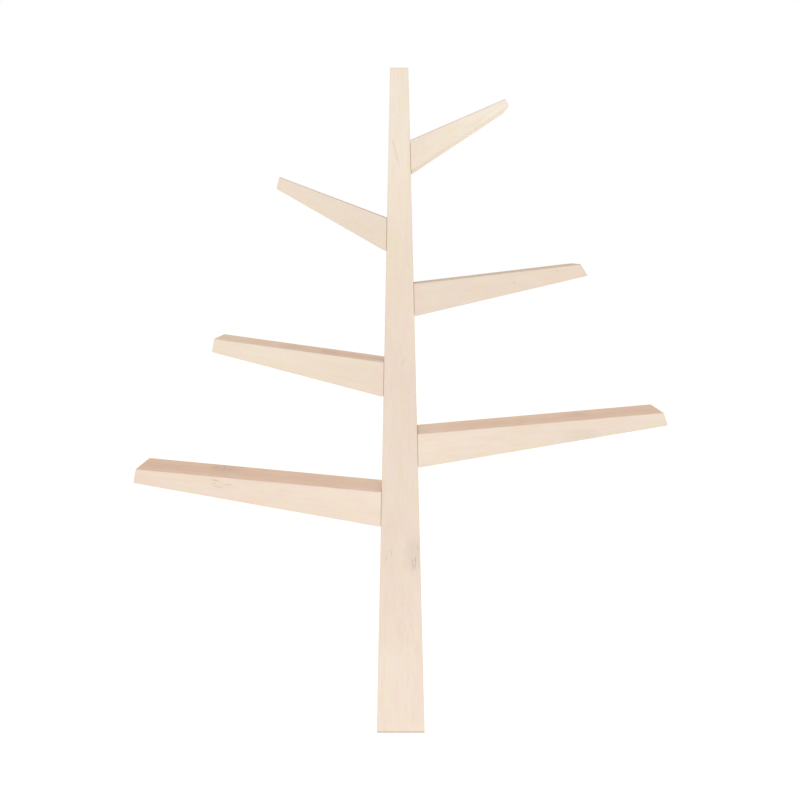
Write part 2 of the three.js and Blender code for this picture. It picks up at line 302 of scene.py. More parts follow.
def rounding_steps():
    """Distances from a sharp edge, r (1 - tan a), that turn the rounding evenly from 45 degrees to none,
    and then steps that hold the flat beside it flat."""
    turns = math.radians(45) * np.arange(EASE_STEPS, -1, -1) / EASE_STEPS
    return EASE_RADIUS * np.concatenate([1 - np.tan(turns), SUPPORT_SHARES])


def even_steps(length, margin):
    """Even places from one margin to the other, about a row spacing apart, without the margins themselves."""
    count = max(2, round((length - 2 * margin) / ROW_SPACING) + 1)
    return np.linspace(margin, length - margin, count)[1:-1]


def row_shares(ends):
    """Shares of each row's width: the rounding's steps at both ends, and even ones between them."""
    widths = np.linalg.norm(ends[:, 1] - ends[:, 0], axis=1)[:, None]
    near = rounding_steps()
    count = max(1, round((widths.max() - 2 * near[-1]) / ROW_SPACING))
    middle = near[-1] + (widths - 2 * near[-1]) * (np.arange(1, count) / count)
    return np.concatenate([near + 0 * widths, middle, widths - near[::-1]], 1) / widths


def ruled_grid(ends, shares):
    """Rows of points from each row's start to its stop, at the shares of its width."""
    return ends[:, :1] + (ends[:, 1:] - ends[:, :1]) * shares[..., None]


def board(name, form, side):
    """One board of a box form: an eased outer grid and a flat inner grid, mitred to its neighbours.

    Its rows run from one neighbour to the next. A board with a root or foot end also goes round that end's
    edge, half way down its thickness, on rows where the face's depth takes the place of its length."""
    thickness = form["thickness"]
    capping = side == "end"
    start_side, stop_side = ("first", "second") if capping else ("end", "base")
    across = ("first", "second") if side in ("front", "back") else ("front", "back")

    def edge(length_side, level):
        """Both ends of the row where the board's flat, at a level under its face, meets a neighbour."""
        length_move = 0 if length_side == "base" else level + SEAM
        return np.array([
            corner(form, {side: level, length_side: length_move, other: level + SEAM}) for other in across
        ])

    def rows(level, shares):
        start, stop = edge(start_side, level), edge(stop_side, level)
        return start[None] + (stop - start)[None] * shares[:, None, None]

    near = rounding_steps()
    length = np.linalg.norm(edge(stop_side, 0) - edge(start_side, 0), axis=1).min()
    places = np.concatenate([near, even_steps(length, near[-1]), length - near[::-1]])
    outer = rows(0, places / length)
    travel = places
    if not capping:
        depths = np.append(near[1:-1], thickness / 2)
        outer = np.concatenate([outer, [edge("base", depth) for depth in depths]])
        travel = np.append(places, length + depths)
    inner = rows(thickness, travel / travel[-1])
    shares = row_shares(outer)
    return closed_shell(name, eased(form, ruled_grid(outer, shares)), ruled_grid(inner, shares))


def length_way(form, side):
    """The way that a board's grain runs: along the board, or from front to back on the cap at its end."""
    if side == "end":
        return np.array([0.0, 1.0, 0.0])
    if side in ("front", "back"):
        ends = [
            corner(form, {"first": 0, end: 0, side: 0}) + corner(form, {"second": 0, end: 0, side: 0})
            for end in ("base", "end")
        ]
    else:
        ends = [corner(form, {side: 0, end: 0, "front": 0}) for end in ("base", "end")]
    way = ends[1] - ends[0]
    return way / np.linalg.norm(way)


# The finish along the boards, with painted light and shade

# The trunk's wash by height: how thickly it lies, with painted light that makes it lighter near the foot and
# the top, and how far it turns to peach and to cream, in percent
TRUNK_HEIGHTS = (0.0, 0.28, 0.4, 0.85, 1.05, 1.2)
TRUNK_WASH = {
    "coat": (0.82, 0.44, 0.18, 0.18, 0.24, 0.68),
    "peach": (1.5, 1.2, -0.1, -0.4, -0.9, -1.1),
    "cream": (1.0, 0.8, -1.2, -1.0, 1.4, 1.5),
}

# Each branch's wash at its root and at its tip: its coat, how thickly the wash lies together with painted
# light and shade, its peach and cream, a warm painted shade that makes the top warmer and darker, a dark
# painted shade on the top, and arris, the painted shade along the edge between the top and the front.
BRANCH_WASH = {
    "upper_right": {
        "coat": (0.45, 1.25), "peach": (-0.8, -1.2), "cream": (1.4, 1.0),
        "rubbed": (0.1, 0.05), "dark": (0.0, 0.0), "arris": (0.35, 0.25),
    },
    "upper_left": {
        "coat": (0.06, 0.24), "peach": (-2.6, -1.0), "cream": (-2.2, 0.6),
        "rubbed": (0.12, 0.1), "dark": (0.2, 0.15), "arris": (0.9, 0.2),
    },
    "middle_right": {
        "coat": (0.0, 0.0), "peach": (-0.9, -1.2), "cream": (-1.2, 0.8),
        "rubbed": (0.0, 0.0), "dark": (0.44, 0.57), "arris": (0.0, 0.25),
    },
    "middle_left": {
        "coat": (0.22, 0.44), "peach": (0.4, -2.7), "cream": (0.3, 2.2),
        "rubbed": (0.38, 0.32), "dark": (0.22, 0.12), "arris": (0.15, 0.1),
    },
    "lower_right": {
        "coat": (0.56, 0.3), "peach": (2.0, -0.5), "cream": (3.6, -0.3),
        "rubbed": (0.27, 0.45), "dark": (0.0, 0.16), "arris": (0.1, 0.08),
    },
    "lower_left": {
        "coat": (0.72, 0.39), "peach": (2.7, 2.6), "cream": (3.4, 3.2),
        "rubbed": (0.27, 0.45), "dark": (0.0, 0.2), "arris": (0.15, 0.1),
    },
}

# The part of a top's length, from its root, that is painted lighter against the shade near the trunk and
# has less warm painted shade, and the painted light that its coat gains there
LIT_ROOT_SHARE = 0.2
ROOT_PAINTED_LIGHT = 0.66

# Distances from the back and from the front over which a top's painted shade darkens to its full dark
DARK_FADES = {"back": 0.12, "front": 0.07}

# Undersides: their coat and their least dark, painted light and painted shade that set how bright they look
UNDERSIDE_COAT_AND_LIGHT = 0.75
UNDERSIDE_SHADE = 0.05

# Painted shade along the arrises: how dark the one behind the top and the one under the front are, their
# width, and the share of that width over which they fade
BACK_ARRIS_DARK = 0.35
UNDER_ARRIS_DARK = 0.14
ARRIS_WIDTH = 0.0022
ARRIS_FADE = 0.6


def arris_share(depths, flat, side):
    """1 at the arris between a flat and a side, and 0 past its width: (width - depth) / (fade width), held
    between 0 and 1, where depth is the greater of the depths under both."""
    depth = np.maximum(depths[flat], depths[side])
    return np.clip((ARRIS_WIDTH - depth) / (ARRIS_FADE * ARRIS_WIDTH), 0, 1)


def finish_at(branch, side, heights, depths):
    """Finish values of a board's points, from their heights and their depths under the form's flats.

    On the trunk they go by height, and on a branch by along, the share of the way from root to tip. A top
    is painted lighter near its root, against the shade there: with a share that falls evenly from 1 at the
    root to 0 at the part of the length set above, its coat gains that share of the painted light set above,
    and its warm painted shade is what it would be times 1 less that share. Its dark, a painted shade, is less
    near its back and front. Undersides have a coat and a least dark of their own, painted light and painted
    shade, and an arris's painted shade holds where it is the greater."""
    if branch not in BRANCH_WASH:
        # On the trunk the coat by height holds painted light, lighter near the foot and the top
        values = {name: np.interp(heights, TRUNK_HEIGHTS, row) for name, row in TRUNK_WASH.items()}
        return {**values, "rubbed": 0 * heights, "dark": 0 * heights}
    along = depths["base"] / (depths["base"] + depths["end"])
    values = {name: root + (tip - root) * along for name, (root, tip) in BRANCH_WASH[branch].items()}
    on_top = float(side == "first")
    # Painted shade along the arrises
    arris = arris_share(depths, "first", "front") * values.pop("arris")
    arris = np.maximum(arris, arris_share(depths, "first", "back") * BACK_ARRIS_DARK)
    arris = np.maximum(arris, arris_share(depths, "second", "front") * UNDER_ARRIS_DARK)
    # Painted light near a top's root, against the shade there, with less warm painted shade
    root_light = on_top * np.clip(1 - along / LIT_ROOT_SHARE, 0, 1)
    values["coat"] = values["coat"] + ROOT_PAINTED_LIGHT * root_light
    values["rubbed"] = on_top * values["rubbed"] * (1 - root_light)
    # The tops' painted shade, less near their back and front
    for flat, width in DARK_FADES.items():
        values["dark"] = values["dark"] * np.clip(depths[flat] / width, 0, 1)
    values["dark"] = np.maximum(on_top * values["dark"], arris)
    # Painted light and painted shade of the undersides
    if side == "second":
        values["coat"] = np.full_like(along, UNDERSIDE_COAT_AND_LIGHT)
        values["dark"] = np.maximum(values["dark"], UNDERSIDE_SHADE)
    return values


def mark_grain(piece, form, side, shift):
    """Attributes for the finish.

    grain is the place along the board, across it and out of it, with a shift of its own for each board. edge
    is the distance from the form's nearest edge: the second least of the depths under its flats. The coat is
    how thickly the wash lies, together with painted light and shade, peach and cream how far it turns to
    those tones, the warm top shade a painted shade that makes the tops warmer and darker, and dark the
    painted shade of tops, undersides and arrises."""
    points, _ = mesh_arrays(piece.data)
    along = length_way(form, side)
    out = form[side][0]
    places = points @ np.array([along, np.cross(out, along), out]).T + shift
    depths = {flat: form[flat][1] - points @ form[flat][0] for flat in (*OUTLINE, "front", "back")}
    branch = piece.name.rsplit("_", 2)[0]
    values = finish_at(branch, side, points[:, 2], depths)
    values["edge"] = np.sort(list(depths.values()), axis=0)[1]
    grain = piece.data.attributes.new("grain", "FLOAT_VECTOR", "POINT")
    grain.data.foreach_set("vector", places.astype(np.float32).ravel())
    for name, row in values.items():
        made = piece.data.attributes.new(name, "FLOAT", "POINT")
        made.data.foreach_set("value", row.astype(np.float32))


# Turned pieces: bolts, screws and the cutters for their bores


def hex_share(turn):
    """Distance to a hexagon's side over half its width, at each angle."""
    sixth = math.pi / 3
    return 1 / np.cos((turn + sixth / 2) % sixth - sixth / 2)


def cross_share(turn):
    """Distance to the outline of a cross over half its span, at each angle."""
    quarter = math.pi / 2
    lean = np.abs((turn + quarter / 2) % quarter - quarter / 2)
    arm = RECESS_ARM / RECESS_WIDTH
    return np.minimum(1 / np.cos(lean), arm / np.maximum(np.sin(lean), arm / 2))


def round_share(turn):
    """A circle's: 1 at each angle."""
    return np.ones_like(turn)


def round_steps(*steps):
    """Steps of a profile whose rings are round, each a distance along and a radius."""
    return [(along, radius, round_share) for along, radius in steps]


def turned(name, profile, centre, way, sides=TURNED_SIDES):
    """A closed piece turned about a line through centre along way. Each step of the profile is a distance
    along, a radius, and the share of that radius at each angle. The first and last steps are on the line."""
    turn = np.arange(sides) * 2 * math.pi / sides
    way = np.asarray(way, float)
    up = np.array([0.0, 0.0, 1.0])
    over = np.cross(way, up)
    around = np.cos(turn)[:, None] * over + np.sin(turn)[:, None] * up
    rings = [way * along + around * (radius * share(turn))[:, None] for along, radius, share in profile[1:-1]]
    poles = [way * profile[0][0], way * profile[-1][0]]
    points = np.concatenate([np.concatenate(rings), poles]) + np.asarray(centre, float)
    places = np.arange(len(rings) * sides).reshape(len(rings), sides)
    places = np.column_stack([places, places[:, 0]])
    fans = [
        np.column_stack([places[0, 1:], places[0, :-1], np.full(sides, len(points) - 2)]),
        np.column_stack([places[-1, :-1], places[-1, 1:], np.full(sides, len(points) - 1)]),
    ]
    faces = [*quads(places)[:, ::-1].tolist(), *fans[0].tolist(), *fans[1].tolist()]
    return new_piece(name, points, faces)


def thread(start, stop, pitch, root, crest):
    """Steps of a screw thread, for a turned piece. The radius rises from root to crest and falls back once a
    pitch, and the rise moves on by one pitch in a turn. It fades in and out over one pitch at its ends."""
    steps = []
    for along in np.arange(start, stop, pitch / THREAD_ROWS):
        fade = min(1.0, (along - start) / pitch, (stop - along) / pitch)

        def share(turn, along=along, fade=fade):
            lift = 1 - np.abs(2 * ((along / pitch - turn / (2 * math.pi)) % 1) - 1)
            return (root + (crest - root) * fade * np.clip(THREAD_SLOPE * lift, 0, 1)) / crest

        steps.append((along, crest, share))
    return steps


def bolt_place(bolt):
    """A bolt's length, its head's radius, its way from head to point and the middle of its head's outer face.
    The head is at the end that is further from the bolt's branch."""
    low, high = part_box(bolt)
    goes_right = "_right_" in bolt
    way = np.array([1.0 if goes_right else -1.0, 0.0, 0.0])
    head = np.array([low.x if goes_right else high.x, (low.y + high.y) / 2, (low.z + high.z) / 2])
    return high.x - low.x, (high.y - low.y) / 2, way, head


def make_bolt(bolt, material):
    """A bolt turned from the bottom of its hex socket, over its chamfered head and down its thread to its
    point."""
    length, head_radius, way, head = bolt_place(bolt)
    threaded = length - BOLT_POINT
    profile = [
        *round_steps((SOCKET_DEPTH, 0)),
        (SOCKET_DEPTH, SOCKET_WIDTH / 2, hex_share),
        (BOLT_CHAMFER / 4, SOCKET_WIDTH / 2, hex_share),
        (0, SOCKET_WIDTH / 2 + BOLT_CHAMFER / 4, hex_share),
        *round_steps(
            (0, head_radius - BOLT_CHAMFER),
            (BOLT_CHAMFER / 3, head_radius - BOLT_CHAMFER / 3),
            (BOLT_CHAMFER, head_radius),
            (BOLT_HEAD_THICKNESS - BOLT_CHAMFER / 3, head_radius),
            (BOLT_HEAD_THICKNESS, head_radius - BOLT_CHAMFER / 3),
            (BOLT_HEAD_THICKNESS, BOLT_SHANK / 2),
        ),
        *thread(length - BOLT_THREAD_LENGTH, threaded, BOLT_PITCH, BOLT_ROOT / 2, BOLT_THREAD / 2),
        *round_steps((threaded, BOLT_ROOT / 2), (length, BOLT_THREAD / 4), (length, 0)),
    ]
    piece = turned(bolt, profile, head, way)
    smooth(piece)
    finish_piece(piece, material, "zinc_steel", bolt)


def bolt_cutter(bolt):
    """The bore for one bolt through the trunk: wide for its head, then wide enough for its thread."""
    length, radius, way, head = bolt_place(bolt)
    head_radius = radius + BORE_CLEARANCE
    shank_radius = BOLT_THREAD / 2 + BORE_CLEARANCE
    out = -HEAD_SETBACK - CUT_OVERRUN
    ledge = BOLT_HEAD_THICKNESS + BORE_CLEARANCE
    profile = round_steps(
        (out, 0),
        (out, head_radius),
        (ledge, head_radius),
        (ledge, shank_radius),
        (length, shank_radius),
        (length, 0),
    )
    return turned("cutter", profile, head, way)


# Keyhole plate


def stadium(width, length):
    """Outline with half round ends, upright about its own middle, as points of X and Z."""
    turn = np.linspace(0, math.pi, ARC_STEPS)
    arc = np.column_stack([np.cos(turn), np.sin(turn)]) * width / 2
    rise = np.array([0, (length - width) / 2])
    return np.concatenate([arc + rise, -arc - rise])


def keyhole_outline():
    """A round entry with a narrower slot above it that ends in a half circle."""
    entry, slot = KEYHOLE_ENTRY / 2, KEYHOLE_SLOT / 2
    lean = math.asin(slot / entry)
    below = np.linspace(math.pi / 2 + lean, math.pi * 2.5 - lean, 2 * ARC_STEPS)
    above = np.linspace(0, math.pi, ARC_STEPS)
    rise = np.array([0, KEYHOLE_TRAVEL / 2])
    return np.concatenate([
        np.column_stack([np.cos(below), np.sin(below)]) * entry - rise,
        np.column_stack([np.cos(above), np.sin(above)]) * slot + rise,
    ])


def upright_prism(name, outline, middle, front, back):
    """A closed prism of an outline of X and Z, from one Y to another."""
    count = len(outline)
    rings = [
        np.column_stack([outline[:, 0] + middle[0], np.full(count, y), outline[:, 1] + middle[1]])
        for y in (front, back)
    ]
    here = np.arange(count)
    after = np.roll(here, -1)
    sides = np.column_stack([here, after, after + count, here + count])
    caps = [here[::-1].tolist(), (here + count).tolist()]
    return new_piece(name, np.concatenate(rings), [*sides.tolist(), *caps])


PLATE_SCREWS = ("keyhole_plate_upper_screw", "keyhole_plate_lower_screw")


def screw_place(screw):
    """A plate screw's length, its head's radius and the middle of its head's outer face."""
    low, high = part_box(screw)
    head = np.array([(low.x + high.x) / 2, high.y, (low.z + high.z) / 2])
    return high.y - low.y, (high.x - low.x) / 2, head


def plate_box():
    """The plate's low and high corners, and its middle as X and Z."""
    low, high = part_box("keyhole_plate")
    return low, high, ((low.x + high.x) / 2, (low.z + high.z) / 2)


def plate_cutters():
    """The recess for the plate, the pocket behind its keyhole, and the bores for its screws."""
    low, high, middle = plate_box()
    out = cad_high.y + CUT_OVERRUN
    recess = stadium(high.x - low.x + 2 * PLATE_GAP, high.z - low.z + 2 * PLATE_GAP)
    pocket = stadium(POCKET_WIDTH, POCKET_WIDTH + KEYHOLE_TRAVEL)
    yield upright_prism("cutter", recess, middle, low.y - PLATE_GAP, out)
    yield upright_prism("cutter", pocket, middle, cad_high.y - POCKET_DEPTH, out)
    radius = SCREW_SHANK / 2 + BORE_CLEARANCE
    for screw in PLATE_SCREWS:
        length, _, head = screw_place(screw)
        depth = length + BORE_CLEARANCE
        profile = round_steps((0, 0), (0, radius), (depth, radius), (depth, 0))
        yield turned("cutter", profile, head, (0, -1, 0))


def make_plate(material):
    """The keyhole plate: a filled curve with its holes, given its thickness and a fine bevel."""
    low, high, middle = plate_box()
    outlines = [stadium(high.x - low.x, high.z - low.z), keyhole_outline()]
    hole = stadium(SCREW_SHANK + 2 * BORE_CLEARANCE, SCREW_SHANK + 2 * BORE_CLEARANCE)
    for screw in PLATE_SCREWS:
        head = screw_place(screw)[-1]
        outlines.append(hole + np.array([0, head[2] - middle[1]]))
    curve = bpy.data.curves.new("keyhole_plate", "CURVE")
    curve.dimensions = "2D"
    curve.fill_mode = "BOTH"
    curve.extrude = (high.y - low.y) / 2 - PLATE_BEVEL
    curve.bevel_depth = PLATE_BEVEL
    curve.bevel_resolution = 2
    curve.offset = -PLATE_BEVEL
    for outline in outlines:
        spline = curve.splines.new("POLY")
        spline.points.add(len(outline) - 1)
        flat = np.column_stack([outline, np.zeros(len(outline)), np.ones(len(outline))])
        spline.points.foreach_set("co", flat.ravel())
        spline.use_cyclic_u = True
    shape = bpy.data.objects.new("plate_curve", curve)
    bpy.context.collection.objects.link(shape)
    shaped = shape.evaluated_get(bpy.context.evaluated_depsgraph_get())
    points, triangles = mesh_arrays(bpy.data.meshes.new_from_object(shaped))
    bpy.data.objects.remove(shape)
    depths = (low.y + high.y) / 2 - points[:, 2]
    standing = np.column_stack([points[:, 0] + middle[0], depths, points[:, 1] + middle[1]])
    piece = new_piece("keyhole_plate", standing, triangles)
    weld(piece)
    smooth(piece)
    finish_piece(piece, material, "zinc_steel", "keyhole_plate")


def weld(piece, distance=1e-6):
    """Joins points that share a place, and turns the faces outwards."""
    work = bmesh.new()
    work.from_mesh(piece.data)
    bmesh.ops.remove_doubles(work, verts=work.verts, dist=distance)
    bmesh.ops.recalc_face_normals(work, faces=work.faces)
    work.to_mesh(piece.data)
    work.free()


def make_screw(screw, material):
    """A screw turned from the bottom of its cross recess, over its head and down its thread to its point."""
    length, radius, head = screw_place(screw)
    threaded = length - SCREW_SHANK / 2
    profile = [
        *round_steps((RECESS_DEPTH, 0)),
        (RECESS_DEPTH, RECESS_WIDTH / 2 * RECESS_TAPER, cross_share),
        (0, RECESS_WIDTH / 2, cross_share),
        *round_steps(
            (0, radius - SCREW_CHAMFER),
            (SCREW_CHAMFER / 3, radius - SCREW_CHAMFER / 3),
            (SCREW_CHAMFER, radius),
            (SCREW_HEAD_HEIGHT, radius),
            (SCREW_HEAD_HEIGHT, SCREW_SHANK / 2),
        ),
        *thread(SCREW_HEAD_HEIGHT + SCREW_PITCH, threaded, SCREW_PITCH, SCREW_ROOT / 2, SCREW_SHANK / 2),
        *round_steps((threaded, SCREW_ROOT / 2), (length, 0)),
    ]
    piece = turned(screw, profile, head, (0, -1, 0))
    smooth(piece)
    finish_piece(piece, material, "zinc_steel", screw)


# Materials


def node(tree, kind, settings=None, **inputs):
    """Adds a shader node with its settings and its inputs, each a value or another node's output."""
    made = tree.nodes.new("ShaderNode" + kind)
    for key, value in (settings or {}).items():
        setattr(made, key, value)
    for key, value in inputs.items():
        feed(tree, made.inputs[key.replace("_", " ")], value)
    return made


def feed(tree, socket, value):
    """Links a socket to another node's output, or sets its value."""
    if isinstance(value, bpy.types.NodeSocket):
        tree.links.new(value, socket)
    else:
        socket.default_value = value


def work_out(tree, kind, *values, family="Math"):
    """What a math node makes of its values: kind is its operation, and family VectorMath for vectors."""
    made = node(tree, family, {"operation": kind})
    for place, value in enumerate(values):
        feed(tree, made.inputs[place], value)
    return made.outputs[0]


def noise(tree, place, cells, detail, roughness, shift=(0, 0, 0)):
    """Noise with so many cells a metre each way."""
    scaled = node(tree, "Mapping", Vector=place, Scale=cells, Location=shift).outputs[0]
    return node(tree, "TexNoise", Vector=scaled, Scale=1.0, Detail=detail, Roughness=roughness).outputs[0]


def between(tree, value, low, high, to_low=0.0, to_high=1.0):
    """Maps a range of a value to another, smoothly and held at its ends. The range may run down."""
    made = node(tree, "MapRange", {"interpolation_type": "SMOOTHSTEP"})
    for place, number in enumerate((value, low, high, to_low, to_high)):
        feed(tree, made.inputs[place], number)
    return made.outputs[0]


def attribute(tree, name, output="Fac"):
    """One of the boards' attributes."""
    return node(tree, "Attribute", {"attribute_name": name}).outputs[output]


def blend(tree, amount, first, second, kind="MIX"):
    """Mixes two colours."""
    made = node(tree, "Mix", {"data_type": "RGBA", "blend_type": kind})
    for place, value in ((0, amount), (6, first), (7, second)):
        feed(tree, made.inputs[place], value)
    return made.outputs[2]


def new_material(name, roughness, metallic=0.0, specular=0.5):
    """A material with one shader, its node tree and that shader."""
    material = bpy.data.materials.new(name)
    material.use_nodes = True
    tree = material.node_tree
    shader = tree.nodes["Principled BSDF"]
    shader.inputs["Roughness"].default_value = roughness
    shader.inputs["Metallic"].default_value = metallic
    shader.inputs["Specular IOR Level"].default_value = specular
    return material, tree, shader


def set_surface(tree, shader, colour, relief, distance, strength):
    """Gives a shader its colour, and a bump whose relief of 1 stands up by a distance."""
    bump = node(tree, "Bump", Height=relief, Distance=distance, Strength=strength)
    tree.links.new(colour, shader.inputs["Base Color"])
    tree.links.new(bump.outputs[0], shader.inputs["Normal"])


# Whitewashed wood

WASH_TONE = (0.832, 0.694, 0.566, 1)
PALE_TONE = (0.93, 0.825, 0.70, 1)
BARE_TONE = (0.70, 0.535, 0.39, 1)
# The next two tones are painted shade, warm on the tops and dark, which the tops' dark marks use too
WARM_SHADE_TONE = (0.86, 0.52, 0.33, 1)
DARK_TONE = (0.42, 0.33, 0.26, 1)
GREY_TONE = (0.72, 0.6, 0.51, 1)
FLECK_TONE = (0.42, 0.31, 0.23, 1)

# What one percent of peach does to red and green, and one percent of cream to blue
PEACH_RED = 0.0015
PEACH_GREEN = -0.0085
CREAM_BLUE = -0.01

# Layers of noise: cells a metre along the grain, across it and out of the face, detail, roughness and shift
LAYERS = {
    "patches": ((5, 16, 16), 2.0, 0.5, (0, 0, 0)),
    "peach": ((20, 44, 44), 2.0, 0.55, (3.1, 0.4, 1.7)),
    "cream": ((18, 40, 40), 2.0, 0.55, (8.2, 3.3, 5.9)),
    "figure": ((3.5, 26, 26), 2.0, 0.45, (0, 0, 0)),
    "streaks": ((13, 150, 150), 3.0, 0.6, (0, 0, 0)),
    "fibres": ((34, 1300, 1300), 2.0, 0.5, (0, 0, 0)),
    "pores": ((75, 620, 620), 1.0, 0.4, (5.0, 2.0, 9.0)),
    "crowds": ((7, 24, 24), 2.0, 0.5, (1.0, 7.0, 4.0)),
    "scuffs": ((40, 260, 260), 3.0, 0.6, (2.0, 2.0, 2.0)),
}

# How far the rings' sine turns, in radians, while the figure's noise goes from 0 to 1
FIGURE_TURN = 46.0

# How strongly each feature shows at most
PATCH_SWING = 0.09
PEACH_SWING = 2.0
CREAM_SWING = 2.4
RING_SHARE = 0.04
STREAK_SHARE = 0.13
FIBRE_SHARE = 0.1
SCUFF_SHARE = 0.15
CROWD_SHARE = 0.12
FLECK_SHARE = 0.8

# Distances from an edge at which its scuffs start and are full
SCUFF_START = 0.0022
SCUFF_FULL = 0.0005

# How the grain wanders across the board, and the fine lines about their places
GRAIN_WANDER_CELLS = (2.2, 9, 9)
GRAIN_WANDER = (0.0, 0.02, 0.02)
LINE_WANDER_CELLS = (110, 110, 110)
LINE_WANDER = (0.0024, 0.0024, 0.0024)

# The share of a mark's size within which it has its full strength
MARK_CORE = 0.35

# Marks on the fronts: X and Z of the middle, half size each way, the turn about the Y axis in degrees, and
# strength. They reach in from the front by a depth of their own.
SHADES = (
    ((0.03, 0.385), (0.023, 0.055), 0, 0.8),
    ((-0.011, 1.24), (0.003, 0.021), -18, 0.75),
    ((-0.0038, 1.213), (0.0045, 0.031), -14, 0.6),
    ((0.0195, 0.993), (0.0035, 0.014), -25, 0.5),
    ((0.0095, 0.796), (0.005, 0.014), 33, 0.7),
    ((0.378, 0.636), (0.055, 0.022), -6, 0.62),
    ((0.3796, 0.6459), (0.026, 0.0035), -5, 0.75),
    ((0.3556, 0.6403), (0.011, 0.0035), -7, 0.65),
    ((0.366, 0.6235), (0.03, 0.0035), -9, 0.6),
)
FINE_LINES = (
    ((0.0258, 0.3648), (0.0016, 0.0175), 0, 0.45),
    ((0.0258, 0.369), (0.0015, 0.0075), 0, 0.7),
    ((0.0321, 0.3725), (0.0015, 0.0115), 3, 0.6),
    ((0.0309, 0.3595), (0.0022, 0.0105), 2, 0.5),
    ((0.0364, 0.4017), (0.0015, 0.0095), 0, 0.45),
    ((0.008, 0.3905), (0.0017, 0.0115), -8, 0.22),
    ((-0.0185, 0.3889), (0.0015, 0.012), 1, 0.42),
    ((-0.0248, 0.3905), (0.0014, 0.0085), 0, 0.25),
    ((-0.0291, 0.3777), (0.0015, 0.0085), 0, 0.4),
    ((-0.0143, 0.3977), (0.0014, 0.006), 0, 0.25),
    ((0.0078, 0.36), (0.0018, 0.008), 0, 0.22),
    ((0.024, 0.3525), (0.0015, 0.008), -4, 0.25),
    ((-0.0228, 0.3606), (0.0014, 0.007), 0, 0.16),
    ((-0.3864, 0.5431), (0.0165, 0.0017), 18, 0.36),
    ((-0.3885, 0.5428), (0.007, 0.0017), 13, 0.5),
    ((-0.3922, 0.537), (0.0075, 0.0016), 3, 0.38),
    ((-0.3623, 0.5348), (0.0125, 0.0017), 0, 0.3),
    ((-0.3828, 0.5303), (0.0155, 0.0017), 7, 0.36),
    ((0.2389, 0.9575), (0.006, 0.0017), -1, 0.4),
    ((0.3275, 0.9819), (0.006, 0.0015), 34, 0.3),
    ((0.357, 0.9895), (0.0052, 0.0013), -3, 0.16),
    ((0.0611, 0.921), (0.0068, 0.0015), -5, 0.14),
)
MARK_DEPTH = 0.06
FLECKED_PLACES = (
    ((0.0285, 0.365), (0.011, 0.032), 0, 0.35),
    ((0.0085, 0.37), (0.008, 0.03), 0, 0.25),
    ((0.01, 0.68), (0.02, 0.03), 0, 0.25),
    ((0.012, 0.22), (0.04, 0.14), 0, 0.22),
)
FLECKED_DEPTH = 0.05

# Marks on the tops of middle_left and the lower branches: the middle, half size along X and Y, and
# strength. They reach up and down by a height.
TOP_SHADES = (
    ((-0.149, 0.0, 0.82), (0.032, 0.1), 0.16),
    ((-0.229, 0.0, 0.84), (0.036, 0.1), 0.16),
    ((-0.38, 0.04, 0.54), (0.05, 0.1), 0.17),
    ((0.385, 0.0, 0.66), (0.04, 0.09), 0.09),
    ((0.2, 0.0, 0.64), (0.05, 0.1), 0.07),
)
TOP_FLECKED_PLACES = (
    ((-0.382, 0.05, 0.54), (0.045, 0.05), 0.4),
    ((0.385, 0.0, 0.66), (0.03, 0.06), 0.35),
)
TOP_FINE_LINES = (
    ((-0.402, 0.046, 0.54), (0.0095, 0.016), 0.5),
    ((-0.384, 0.048, 0.54), (0.0042, 0.04), 0.45),
    ((-0.372, 0.032, 0.54), (0.003, 0.014), 0.45),
    ((-0.388, 0.092, 0.54), (0.036, 0.026), 0.36),
    ((-0.35, 0.09, 0.55), (0.012, 0.022), 0.36),
    ((0.382, 0.018, 0.66), (0.011, 0.024), 0.42),
    ((0.394, 0.0, 0.66), (0.006, 0.026), 0.3),
    ((0.374, -0.09, 0.66), (0.026, 0.022), 0.22),
)
TOP_MARK_HEIGHT = 0.1


def layer(tree, place, name):
    """One of the layers of noise at a place."""
    cells, detail, roughness, shift = LAYERS[name]
    return noise(tree, place, cells, detail, roughness, shift)


def wandering(tree, place, cells, reach):
    """A place moved by noise: place + reach (noise - 0.5) along each axis."""
    scaled = node(tree, "Mapping", Vector=place, Scale=cells).outputs[0]
    clouds = node(tree, "TexNoise", Vector=scaled, Scale=1.0, Detail=2.0).outputs["Color"]
    centred = work_out(tree, "SUBTRACT", clouds, (0.5, 0.5, 0.5), family="VectorMath")
    return work_out(tree, "MULTIPLY_ADD", centred, reach, place, family="VectorMath")


def cast(tree, colour, peach, cream):
    """A colour turned to peach and to cream by percents of each: its red times 1 + PEACH_RED peach, its green
    times 1 + PEACH_GREEN peach, and its blue times 1 + CREAM_BLUE cream."""
    red = work_out(tree, "MULTIPLY_ADD", peach, PEACH_RED, 1.0)
    green = work_out(tree, "MULTIPLY_ADD", peach, PEACH_GREEN, 1.0)
    blue = work_out(tree, "MULTIPLY_ADD", cream, CREAM_BLUE, 1.0)
    shares = node(tree, "CombineXYZ", X=red, Y=green, Z=blue).outputs[0]
    return blend(tree, 1.0, colour, shares, "MULTIPLY")


def on_fronts(marks, depth):
    """Marks on the fronts as marks in space: middle, half size each way, turn and strength."""
    return [
        ((x, cad_low.y, z), (wide, depth, tall), turn, strength)
        for (x, z), (wide, tall), turn, strength in marks
    ]


def on_tops(marks):
    """Marks on the tops as marks in space, which aren't turned."""
    return [(middle, (*size, TOP_MARK_HEIGHT), 0, strength) for middle, size, strength in marks]


